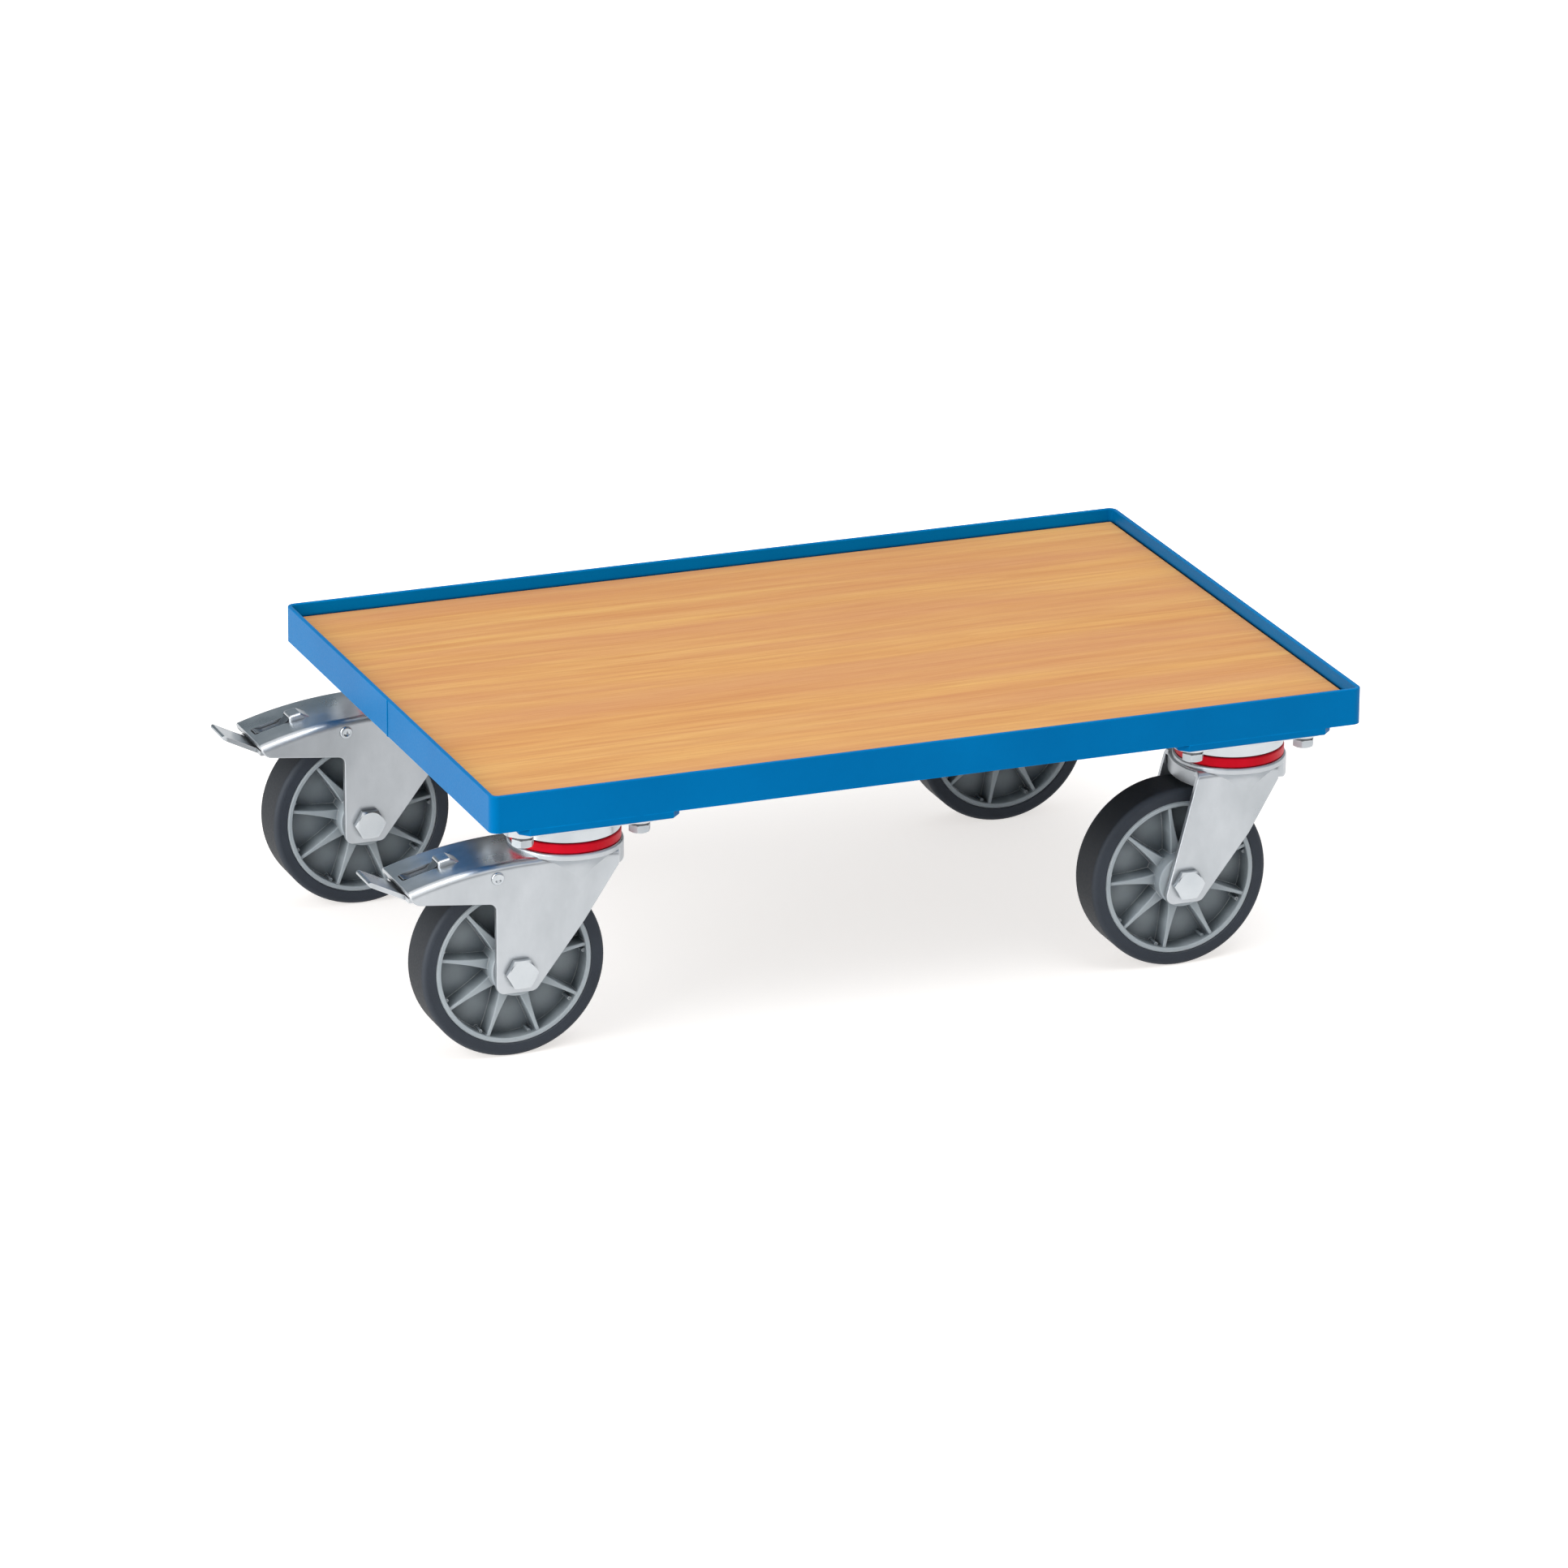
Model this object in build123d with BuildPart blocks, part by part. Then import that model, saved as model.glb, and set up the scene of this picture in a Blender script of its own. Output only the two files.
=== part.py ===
# Crate dolly: a steel angle rim with an inlaid board, carried by four swivel castors.
# Millimetres. The origin is the middle of the board's top face, +X along the long side, +Z up.
# The castors trail to -X, and the two at that end have a foot brake.
from build123d import *
import math
import os

# Tray for one crate: rim bent from angle steel, board laid on the angle's lower leg.
crate_length = 600.0
crate_width = 400.0
crate_play = 2.5
angle_leg = 25.0
angle_wall = 3.0
rim_lip = 9.0
rim_corner_radius = 6.0
rim_edge_radius = 0.8
flange_corner_radius = 2.0
board_gap = 1.2
board_edge_radius = 0.6

# Corner plates, welded under the rim, which take the castor screws. They sit inboard of the castors.
corner_plate_length = 110.0
corner_plate_width = 105.0
corner_plate_thickness = 5.0
corner_plate_shift = 5.0
corner_plate_chamfer = 6.0
corner_plate_edge_radius = 1.5

# Castor places, measured in from the rim's outer faces, and the trail of the wheel behind the head.
castor_inset_x = 70.5
castor_inset_y = 55.5
trail = 41.0

# Castor top plate with its drawn cup.
top_plate_length = 105.0
top_plate_width = 80.0
top_plate_thickness = 6.0
top_plate_radius = 10.0
cup_radius = 36.0
cup_wall = 3.0
cup_depth = 10.0
cup_edge_radius = 0.8

# Castor screws from below, each with a flat washer and a split lock washer.
screw_pitch_x = 80.0
screw_pitch_y = 60.0
screw_diameter = 8.0
screw_hole_clearance = 0.4
screw_tip_recess = 0.5
screw_head_flats = 13.0
screw_head_height = 5.3
washer_diameter = 16.0
washer_thickness = 1.6
lock_washer_diameter = 13.5
lock_washer_thickness = 2.0
lock_washer_slit = 1.6

# Swivel head: two rows of caged balls, held by a riveted kingpin.
kingpin_diameter = 12.0
kingpin_head_diameter = 20.0
kingpin_rivet_diameter = 18.0
kingpin_rivet_height = 4.5
pin_fit = 0.1
dome_clearance = 1.0
upper_ball_diameter = 7.0
upper_ball_count = 14
upper_track_radius = 24.0
upper_track_gap = 5.0
lower_ball_diameter = 6.0
lower_ball_count = 14
lower_track_radius = 20.0
lower_track_gap = 4.4
ball_clearance = 0.15
cage_thickness = 1.4
cage_margin = 0.8
lower_race_thickness = 5.0
lower_race_clearance = 2.0

# Seal ring between the cup and the fork crown.
seal_height = 7.0
seal_radius = 36.5
seal_gap = 0.4
seal_fit = 0.1
seal_edge_radius = 1.0

# Fork, pressed from sheet: crown, shoulders and two legs.
fork_sheet = 3.5
fork_inner_width = 50.0
fork_bend_radius = 5.0
fork_edge_radius = 0.9
crown_radius = 38.0
crown_thickness = 4.0
crown_edge_radius = 1.6
crown_step = 3.0
crown_skirt_height = 10.0
shoulder_height = 17.0
fork_clearance = 13.0
leg_back_reach = 34.0
leg_front_reach = 23.5
crown_lip_bulge = 5.5
leg_front_height = 10.0
foot_drop = 14.0
foot_back = 16.5
foot_front = 10.5
foot_radius = 6.0
knee_reach = 44.0
knee_rise = 30.0

# Hood that the braked forks carry over the wheel, its slot, and the spring keeper behind the slot.
hood_start = 30.0
hood_leg_front_reach = 26.5
hood_overhang = 13.0
hood_end_top = 0.5
hood_end_rake = 2.5
hood_lip_drop = 7.6
hood_notch_drop = 14.0
hood_lip_radius = 8.0
hood_notch_radius = 5.0
hood_slot_length = 24.0
hood_slot_width = 11.0
hood_slot_from_end = 3.2
hood_slot_corner = 2.0
keeper_length = 14.5
keeper_top_length = 8.0
keeper_width = 14.0
keeper_height = 4.2
keeper_sheet = 1.6
keeper_rounding = 2.0

# Brake: pedal on a riveted cross pin, with a shoe above the tyre and a leaf spring in the hood's slot.
pivot_back = 15.6
pivot_rise = 4.0
pivot_pin_diameter = 6.0
pivot_head_diameter = 8.5
pivot_head_height = 1.6
pivot_head_rounding = 1.0
pivot_fit = 0.06
pedal_sheet = 3.0
pedal_width = 40.0
pedal_ear_radius = 4.6
pedal_bend_setback = 3.4
pedal_bend_drop = 11.5
pedal_tip_overhang = 20.6
pedal_tip_rise = 0.5
pedal_tip_width = 27.0
pedal_tip_radius = 5.0
pedal_hood_margin = 2.0
pedal_bend_radius = 6.0
brake_travel = 9.0
shoe_start = 12.0
shoe_end = 32.0
shoe_width = 26.0
shoe_end_gap = 1.2
spring_sheet = 1.2
spring_side_gap = 1.0
spring_drop = 2.7
spring_curl_length = 6.0
spring_rise_length = 4.5
spring_rest_gap = 0.1

# Wheel: plastic rim with ribs on both sides, soft tyre, roller cage on a steel axle tube.
wheel_diameter = 125.0
wheel_width = 32.0
tyre_thickness = 9.3
tyre_shoulder_radius = 3.5
tyre_fit = 0.05
tyre_bead_chamfer = 0.8
ring_wall = 3.4
web_thickness = 5.0
hub_diameter = 36.0
hub_side_gap = 1.5
hub_edge_radius = 1.0
ring_edge_radius = 0.8
rib_count = 9
rib_turn = 9.5
rib_hub_width = 10.0
rib_middle_width = 5.0
rib_ring_width = 4.0
rib_draft = 3.0
rib_edge_radius = 0.7
rib_recess = 1.2
rib_boss_diameter = 2.4
rib_boss_lag = 6.0
rib_boss_recess = 4.0
rib_boss_overlap = 0.4
bearing_diameter = 24.0
bearing_fit = 0.05
axle_tube_diameter = 16.0
axle_fit = 0.1

# Axle bolt and nut.
axle_diameter = 12.0
axle_flats = 19.0
axle_head_height = 5.2
axle_nut_height = 10.0
axle_tip = 2.0
hex_chamfer = 0.6
hex_chamfer_angle = 60.0

# Levels, down from the board's top face.
board_thickness = angle_leg - angle_wall - rim_lip
flange_top = -board_thickness
rim_bottom = flange_top - angle_wall
castor_top = rim_bottom - corner_plate_thickness

# Rim and castor places.
tray_length = crate_length + 2 * crate_play
tray_width = crate_width + 2 * crate_play
rim_length = tray_length + 2 * angle_wall
rim_width = tray_width + 2 * angle_wall
tray_corner_radius = rim_corner_radius - angle_wall
castor_x = rim_length / 2 - castor_inset_x
castor_y = rim_width / 2 - castor_inset_y
corner_plate_x = castor_x - corner_plate_shift
corner_plate_y = rim_width / 2 - corner_plate_width / 2
castors = {
    "front_left": (-castor_x, -castor_y),
    "back_left": (-castor_x, castor_y),
    "front_right": (castor_x, -castor_y),
    "back_right": (castor_x, castor_y),
}
braked = ("front_left", "back_left")
wheel_rests = {"front_left": 0, "back_left": 0, "front_right": 9.5, "back_right": 9.5}
screw_points = [
    (x + side_x * screw_pitch_x / 2, y + side_y * screw_pitch_y / 2)
    for x, y in castors.values()
    for side_x in (-1, 1)
    for side_y in (-1, 1)
]

# Castor levels, down from the castor's own top face, with the swivel axis at its origin.
plate_under = -top_plate_thickness
cup_bottom = plate_under - cup_depth
crown_top = cup_bottom - seal_height
crown_bottom = crown_top - crown_thickness
bridge_top = crown_top - crown_step
bridge_bottom = bridge_top - fork_sheet
tyre_top = crown_bottom - fork_clearance
axle_x = -trail
hood_reach = wheel_diameter / 2 + hood_overhang
pedal_bend_reach = hood_reach - pivot_back - pedal_bend_setback
pedal_tip_reach = hood_reach - pivot_back + pedal_tip_overhang
axle_z = tyre_top - wheel_diameter / 2
dome_radius = cup_radius - cup_wall - dome_clearance
dome_inner_radius = dome_radius - fork_sheet
dome_top = plate_under - upper_track_gap
dome_under = dome_top - fork_sheet
upper_ball_z = plate_under - upper_track_gap / 2
lower_ball_z = dome_under - lower_track_gap / 2
lower_race_top = dome_under - lower_track_gap
lower_race_bottom = lower_race_top - lower_race_thickness
fork_half = fork_inner_width / 2 + fork_sheet
screw_seat = castor_top + plate_under - washer_thickness - lock_washer_thickness
screw_length = castor_top + corner_plate_thickness - screw_tip_recess - screw_seat
screw_bore = screw_diameter / 2 + screw_hole_clearance / 2

os.makedirs("parts", exist_ok=True)


def hex_cone(flats):
    """Radius of the chamfer circle on the end face of a hexagon head or nut."""
    return flats / 2 - hex_chamfer


# Rim: one length of angle steel, bent to a closed ring.
with BuildPart() as rim_frame:
    with BuildSketch(Plane.XY.offset(rim_bottom)):
        RectangleRounded(rim_length, rim_width, rim_corner_radius)
    extrude(amount=angle_leg)
    with BuildSketch(Plane.XY.offset(flange_top)):
        RectangleRounded(tray_length, tray_width, tray_corner_radius)
    extrude(amount=board_thickness + rim_lip, mode=Mode.SUBTRACT)
    with BuildSketch(Plane.XY.offset(rim_bottom)):
        RectangleRounded(
            rim_length - 2 * angle_leg, rim_width - 2 * angle_leg, flange_corner_radius
        )
    extrude(amount=angle_wall, mode=Mode.SUBTRACT)
    fillet(rim_frame.edges().group_by(Axis.Z)[-1], rim_edge_radius)
rim_frame.part.label = "rim_frame"
export_step(rim_frame.part, "parts/rim_frame.step")

# Board: laminated panel that lies on the angle's lower leg, with a narrow gap to the rim.
with BuildPart() as deck_board:
    with BuildSketch(Plane.XY.offset(flange_top)):
        RectangleRounded(
            tray_length - 2 * board_gap,
            tray_width - 2 * board_gap,
            tray_corner_radius - board_gap,
        )
    extrude(amount=board_thickness)
    fillet(deck_board.edges().group_by(Axis.Z)[-1], board_edge_radius)
deck_board.part.label = "deck_board"
export_step(deck_board.part, "parts/deck_board.step")

# Corner plates: one at each castor, drilled for its four screws.
with BuildPart() as corner_plates:
    with BuildSketch(Plane.XY.offset(castor_top)) as plate_outline:
        with GridLocations(2 * corner_plate_x, 2 * corner_plate_y, 2, 2):
            Rectangle(corner_plate_length, corner_plate_width)
        chamfer(plate_outline.vertices(), corner_plate_chamfer)
        with Locations(*screw_points):
            Circle(screw_bore, mode=Mode.SUBTRACT)
    extrude(amount=corner_plate_thickness)
    plate_rims = corner_plates.edges().group_by(Axis.Z)[0].filter_by(GeomType.LINE)
    fillet(plate_rims, corner_plate_edge_radius)
corner_plates.part.label = "corner_plates"
export_step(corner_plates.part, "parts/corner_plates.step")

# Castor screws: hexagon heads hang below the top plates, tips end inside the corner plates.
with BuildPart() as plate_screws:
    with BuildSketch(Plane.XY.offset(screw_seat)):
        with Locations(*screw_points):
            RegularPolygon(screw_head_flats / 2, 6, major_radius=False)
    extrude(amount=-screw_head_height)
    with BuildSketch(Plane.XY.offset(screw_seat - screw_head_height)):
        with Locations(*screw_points):
            Circle(hex_cone(screw_head_flats))
    extrude(amount=screw_head_height, taper=-hex_chamfer_angle, mode=Mode.INTERSECT)
    with BuildSketch(Plane.XY.offset(screw_seat)):
        with Locations(*screw_points):
            Circle(screw_diameter / 2)
    extrude(amount=screw_length)
plate_screws.part.label = "plate_screws"
export_step(plate_screws.part, "parts/plate_screws.step")

# Flat washers against the top plates.
with BuildPart() as plate_washers:
    with BuildSketch(Plane.XY.offset(screw_seat + lock_washer_thickness)):
        with Locations(*screw_points):
            Circle(washer_diameter / 2)
            Circle(screw_bore, mode=Mode.SUBTRACT)
    extrude(amount=washer_thickness)
plate_washers.part.label = "plate_washers"
export_step(plate_washers.part, "parts/plate_washers.step")

# Split lock washers between the flat washers and the screw heads.
with BuildPart() as lock_washers:
    with BuildSketch(Plane.XY.offset(screw_seat)):
        with Locations(*screw_points):
            Circle(lock_washer_diameter / 2)
            Circle(screw_bore, mode=Mode.SUBTRACT)
        with Locations(*[(x + lock_washer_diameter / 4, y) for x, y in screw_points]):
            Rectangle(lock_washer_diameter / 2, lock_washer_slit, mode=Mode.SUBTRACT)
    extrude(amount=lock_washer_thickness)
lock_washers.part.label = "lock_washers"
export_step(lock_washers.part, "parts/lock_washers.step")

# Castor top plate: flat plate with a drawn cup, a ball track and a countersunk hole for the kingpin.
with BuildPart() as top_plate:
    with BuildSketch(Plane.XY.offset(plate_under)):
        RectangleRounded(top_plate_length, top_plate_width, top_plate_radius)
        with GridLocations(screw_pitch_x, screw_pitch_y, 2, 2):
            Circle(screw_bore, mode=Mode.SUBTRACT)
    extrude(amount=top_plate_thickness)
    with BuildSketch(Plane.XY.offset(cup_bottom)):
        Circle(cup_radius)
        Circle(cup_radius - cup_wall, mode=Mode.SUBTRACT)
    extrude(amount=cup_depth)
    fillet(top_plate.edges().group_by(Axis.Z)[0].sort_by(SortBy.RADIUS)[-1], cup_edge_radius)
    with Locations((0, 0, upper_ball_z)):
        Torus(
            upper_track_radius, upper_ball_diameter / 2 + ball_clearance, mode=Mode.SUBTRACT
        )
    with Locations((0, 0, 0)):
        CounterSinkHole(
            kingpin_diameter / 2 + pin_fit,
            kingpin_head_diameter / 2 + pin_fit,
            depth=2 * top_plate_thickness,
            counter_sink_angle=90,
        )

# Kingpin: countersunk above the top plate, riveted over under the lower race.
with BuildPart() as kingpin:
    with BuildSketch(Plane.XZ):
        with BuildLine():
            Polyline(
                (0, 0),
                (kingpin_head_diameter / 2, 0),
                (kingpin_diameter / 2, -(kingpin_head_diameter - kingpin_diameter) / 2),
                (kingpin_diameter / 2, lower_race_bottom),
                (kingpin_rivet_diameter / 2, lower_race_bottom),
                (kingpin_diameter / 2, lower_race_bottom - kingpin_rivet_height),
                (0, lower_race_bottom - kingpin_rivet_height),
                close=True,
            )
        make_face()
    revolve(axis=Axis.Z)

# Lower race: hardened disc inside the fork crown, with the lower ball track.
with BuildPart() as lower_race:
    with BuildSketch(Plane.XY.offset(lower_race_bottom)):
        Circle(dome_inner_radius - lower_race_clearance)
        Circle(kingpin_diameter / 2 + pin_fit, mode=Mode.SUBTRACT)
    extrude(amount=lower_race_thickness)
    with Locations((0, 0, lower_ball_z)):
        Torus(
            lower_track_radius, lower_ball_diameter / 2 + ball_clearance, mode=Mode.SUBTRACT
        )

# Caged balls: one ring above the fork crown and one inside it.
with BuildPart() as upper_balls:
    with BuildSketch(Plane.XY.offset(upper_ball_z)):
        Circle(upper_track_radius + upper_ball_diameter / 2 + cage_margin)
        Circle(upper_track_radius - upper_ball_diameter / 2 - cage_margin, mode=Mode.SUBTRACT)
    extrude(amount=cage_thickness / 2, both=True)
    with Locations((0, 0, upper_ball_z)):
        with PolarLocations(upper_track_radius, upper_ball_count):
            Sphere(upper_ball_diameter / 2)
with BuildPart() as lower_balls:
    with BuildSketch(Plane.XY.offset(lower_ball_z)):
        Circle(lower_track_radius + lower_ball_diameter / 2 + cage_margin)
        Circle(lower_track_radius - lower_ball_diameter / 2 - cage_margin, mode=Mode.SUBTRACT)
    extrude(amount=cage_thickness / 2, both=True)
    with Locations((0, 0, lower_ball_z)):
        with PolarLocations(lower_track_radius, lower_ball_count):
            Sphere(lower_ball_diameter / 2)
with BuildPart() as ball_rings:
    with Locations(*[(x, y, castor_top) for x, y in castors.values()]):
        add(upper_balls.part)
        add(lower_balls.part)
ball_rings.part.label = "ball_rings"
export_step(ball_rings.part, "parts/ball_rings.step")

# Seal ring: plastic band that closes the gap between the cup and the fork crown.
with BuildPart() as seal_ring:
    with BuildSketch(Plane.XY.offset(crown_top)):
        Circle(seal_radius)
        Circle(dome_radius + seal_fit, mode=Mode.SUBTRACT)
    extrude(amount=seal_height - seal_gap)
    fillet(
        seal_ring.edges().filter_by(GeomType.CIRCLE).sort_by(SortBy.RADIUS)[-2:],
        seal_edge_radius,
    )


# Fork shoulders: the flare that runs from the crown's edge down into the legs.
with BuildPart() as shoulders:
    with BuildSketch(Plane.XZ):
        with BuildLine():
            crown_edge = (crown_radius, crown_bottom)
            shoulder_foot = (fork_half, crown_bottom - shoulder_height)
            Polyline(
                shoulder_foot,
                (0, crown_bottom - shoulder_height),
                (0, crown_bottom),
                crown_edge,
            )
            TangentArc(shoulder_foot, crown_edge, tangent=(0, 1))
        make_face()
    revolve(axis=Axis.Z)

# Fork crown: round flange under the seal ring, and a drawn dome that reaches up into the cup.
with BuildPart() as crown:
    with BuildSketch(Plane.XY.offset(crown_bottom)):
        Circle(crown_radius)
    extrude(amount=crown_thickness)
    fillet(crown.edges().group_by(Axis.Z)[-1], crown_edge_radius)
    with BuildSketch(Plane.XY.offset(crown_top)):
        Circle(dome_radius)
    extrude(amount=dome_top - crown_top)

# Hollow of the dome, with both ball tracks and the hole for the kingpin.
with BuildPart() as crown_hollow:
    with BuildSketch(Plane.XY.offset(bridge_bottom)):
        Circle(dome_inner_radius)
    extrude(amount=dome_under - bridge_bottom)
    with BuildSketch(Plane.XY.offset(bridge_bottom)):
        Circle(kingpin_diameter / 2 + dome_clearance)
    extrude(amount=dome_top - bridge_bottom)
    with Locations((0, 0, upper_ball_z)):
        Torus(upper_track_radius, upper_ball_diameter / 2 + ball_clearance)
    with Locations((0, 0, lower_ball_z)):
        Torus(lower_track_radius, lower_ball_diameter / 2 + ball_clearance)

# Skirt: band under the crown's front edge, between the legs.
with BuildPart() as front_skirt:
    with BuildSketch(Plane.XY.offset(crown_bottom)):
        Circle(crown_radius)
        Circle(crown_radius - fork_sheet, mode=Mode.SUBTRACT)
        with Locations((crown_radius, 0)):
            Rectangle(2 * crown_radius, fork_inner_width, mode=Mode.INTERSECT)
    extrude(amount=-crown_skirt_height)


def leg_front(reach):
    """Front edge of a leg, from its foot up to the crown, which it meets at the given reach."""
    return [
        (axle_x + foot_front, axle_z - foot_drop),
        (axle_x + knee_reach, axle_z + knee_rise),
        (reach, crown_bottom - leg_front_height),
        (reach, bridge_top),
    ]


def sheared_edges(fork, level):
    """Cut edges of the fork's two outer side faces that lie below the given level."""
    sides = fork.faces().filter_by(Axis.Y).sort_by(Axis.Y)
    outer_edges = sides[0].edges() + sides[-1].edges()
    return [edge for edge in outer_edges if edge.center().Z < level - fork_edge_radius]


below_feet = axle_z - 2 * foot_drop

# Lip of the plain fork: its back edge bows out between the legs and turns down over the tyre.
lip_side = fork_half - fork_bend_radius
with BuildPart() as back_lip:
    with BuildSketch(Plane.XY.offset(bridge_top)):
        with BuildLine():
            lip_outer_ends = [(-leg_back_reach, side * lip_side) for side in (-1, 1)]
            lip_inner_ends = [(x + fork_sheet, y) for x, y in lip_outer_ends]
            lip_middle = -leg_back_reach - crown_lip_bulge
            ThreePointArc(lip_outer_ends[0], (lip_middle, 0), lip_outer_ends[1])
            Line(lip_outer_ends[1], lip_inner_ends[1])
            ThreePointArc(lip_inner_ends[1], (lip_middle + fork_sheet, 0), lip_inner_ends[0])
            Line(lip_inner_ends[0], lip_outer_ends[0])
        make_face()
    extrude(amount=crown_bottom - crown_skirt_height - bridge_top)
    fillet(back_lip.edges().group_by(Axis.Z)[-1].sort_by(Axis.X)[0], crown_edge_radius)

# Plain fork: open behind the crown, with a skirt in front and the lip behind.
with BuildPart() as plain_fork:
    with BuildSketch(Plane.XZ) as plain_outline:
        with BuildLine():
            Polyline(
                (-leg_back_reach, bridge_top),
                (axle_x - foot_back, axle_z - foot_drop),
                *leg_front(leg_front_reach),
                close=True,
            )
        make_face()
        fillet(plain_outline.vertices().group_by(Axis.Y)[0], foot_radius)
    extrude(amount=fork_half, both=True)
    fillet(plain_fork.edges().filter_by(Axis.X).group_by(Axis.Z)[-1], fork_bend_radius)
    fillet(sheared_edges(plain_fork, bridge_top - fork_bend_radius), fork_edge_radius)
    add(shoulders.part)
    with BuildSketch(Plane.XZ):
        with BuildLine():
            Polyline(
                (axle_x - wheel_diameter, bridge_bottom),
                (wheel_diameter, bridge_bottom),
                (wheel_diameter, below_feet),
                (axle_x - wheel_diameter, below_feet),
                close=True,
            )
        make_face()
    extrude(amount=fork_inner_width / 2, both=True, mode=Mode.SUBTRACT)
    add(crown.part)
    add(crown_hollow.part, mode=Mode.SUBTRACT)
    add(front_skirt.part)
    add(back_lip.part)
    with BuildSketch(Plane.XZ):
        with Locations((axle_x, axle_z)):
            Circle(axle_diameter / 2 + axle_fit)
    extrude(amount=2 * fork_half, both=True, mode=Mode.SUBTRACT)

# Hood: its top line runs level from the crown, then curves down to the pedal.
hood_first = (-hood_start, bridge_top)
hood_last = (axle_x - hood_reach, tyre_top + hood_end_top)
hood_span = hood_first[0] - hood_last[0]
hood_drop = hood_first[1] - hood_last[1]
hood_arc_radius = (hood_span**2 + hood_drop**2) / (2 * hood_drop)
hood_lip = (hood_last[0] + hood_end_rake, tyre_top - hood_lip_drop)
hood_notch = (axle_x - foot_back, tyre_top - hood_notch_drop)
slot_start = hood_last[0] + hood_slot_from_end
slot_end = slot_start + hood_slot_length
keeper_crest = slot_end + keeper_top_length
keeper_end = slot_end + keeper_length
pivot = (axle_x - pivot_back, tyre_top + pivot_rise)


def hood_top(x):
    """Height of the hood's top line at x, on its curved stretch."""
    run = -hood_start - x
    return bridge_top - hood_arc_radius + math.sqrt(hood_arc_radius**2 - run**2)


# Spring keeper: strap lanced from the hood behind its slot and pressed up, open towards the slot.
with BuildPart() as spring_keeper:
    with BuildSketch(Plane.XZ):
        with BuildLine():
            Polyline(
                (slot_end, hood_top(slot_end) - fork_sheet),
                (slot_end, hood_top(slot_end) + keeper_height),
                (keeper_crest, hood_top(keeper_crest) + keeper_height),
                (keeper_end, hood_top(keeper_end)),
                (keeper_end, hood_top(keeper_end) - fork_sheet),
                close=True,
            )
        make_face()
    extrude(amount=keeper_width / 2, both=True)
    keeper_edges = spring_keeper.edges().filter_by(Axis.Y).sort_by(Axis.Z)[-2:-1]
    fillet(keeper_edges, keeper_rounding)
    for keeper_side in (0, -1):
        side_edges = spring_keeper.faces().sort_by(Axis.Y)[keeper_side].edges()
        fillet(side_edges.filter_by(Axis.Z, reverse=True).sort_by(Axis.Z)[1:], keeper_rounding)

# Hollow under the keeper, through the hood's sheet, for the end of the spring.
with BuildPart() as keeper_hollow:
    with BuildSketch(Plane.XZ):
        with BuildLine():
            hollow_rise = keeper_height - keeper_sheet
            Polyline(
                (slot_end - hood_slot_corner, hood_top(slot_end) - 2 * fork_sheet),
                (slot_end - hood_slot_corner, hood_top(slot_end) + hollow_rise),
                (keeper_crest, hood_top(keeper_crest) + hollow_rise),
                (keeper_crest, hood_top(slot_end) - 2 * fork_sheet),
                close=True,
            )
        make_face()
    extrude(amount=hood_slot_width / 2, both=True)

# Braked fork: the same crown and legs, with the hood drawn out over the wheel.
with BuildPart() as braked_fork:
    with BuildSketch(Plane.XZ) as braked_outline:
        with BuildLine():
            Polyline((hood_leg_front_reach, bridge_top), hood_first)
            TangentArc(hood_first, hood_last, tangent=(-1, 0))
            Polyline(
                hood_last,
                hood_lip,
                hood_notch,
                (axle_x - foot_back, axle_z - foot_drop),
                *leg_front(hood_leg_front_reach),
            )
        make_face()
        fillet(braked_outline.vertices().group_by(Axis.Y)[0], foot_radius)
        fillet(braked_outline.vertices().sort_by_distance(hood_lip)[0], hood_lip_radius)
        fillet(braked_outline.vertices().sort_by_distance(hood_notch)[0], hood_notch_radius)
    extrude(amount=fork_half, both=True)
    level_edges = braked_fork.edges().filter_by(Axis.X).group_by(Axis.Z)[-1]
    curved_edges = braked_fork.edges().filter_by(GeomType.CIRCLE).sort_by(SortBy.LENGTH)[-2:]
    fillet(level_edges + curved_edges, fork_bend_radius)
    fillet(sheared_edges(braked_fork, tyre_top), fork_edge_radius)
    add(shoulders.part)
    with BuildSketch(Plane.XZ):
        with BuildLine():
            inner_first = (hood_first[0], bridge_bottom)
            inner_last = (hood_last[0], hood_last[1] - fork_sheet)
            TangentArc(inner_first, inner_last, tangent=(-1, 0))
            Polyline(
                inner_last,
                (inner_last[0] - hood_reach, inner_last[1] - fork_sheet),
                (inner_last[0] - hood_reach, below_feet),
                (wheel_diameter, below_feet),
                (wheel_diameter, bridge_bottom),
                inner_first,
            )
        make_face()
    extrude(amount=fork_inner_width / 2, both=True, mode=Mode.SUBTRACT)
    add(crown.part)
    add(crown_hollow.part, mode=Mode.SUBTRACT)
    add(front_skirt.part)
    with BuildSketch(Plane.XZ):
        with Locations((axle_x, axle_z)):
            Circle(axle_diameter / 2 + axle_fit)
        with Locations(pivot):
            Circle(pivot_pin_diameter / 2 + pivot_fit)
    extrude(amount=2 * fork_half, both=True, mode=Mode.SUBTRACT)
    with BuildSketch(Plane.XY.offset(bridge_top)):
        with Locations(((slot_start + slot_end) / 2, 0)):
            RectangleRounded(hood_slot_length, hood_slot_width, hood_slot_corner)
    extrude(amount=hood_last[1] - bridge_top - 2 * fork_sheet, mode=Mode.SUBTRACT)
    add(spring_keeper.part)
    add(keeper_hollow.part, mode=Mode.SUBTRACT)

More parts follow.
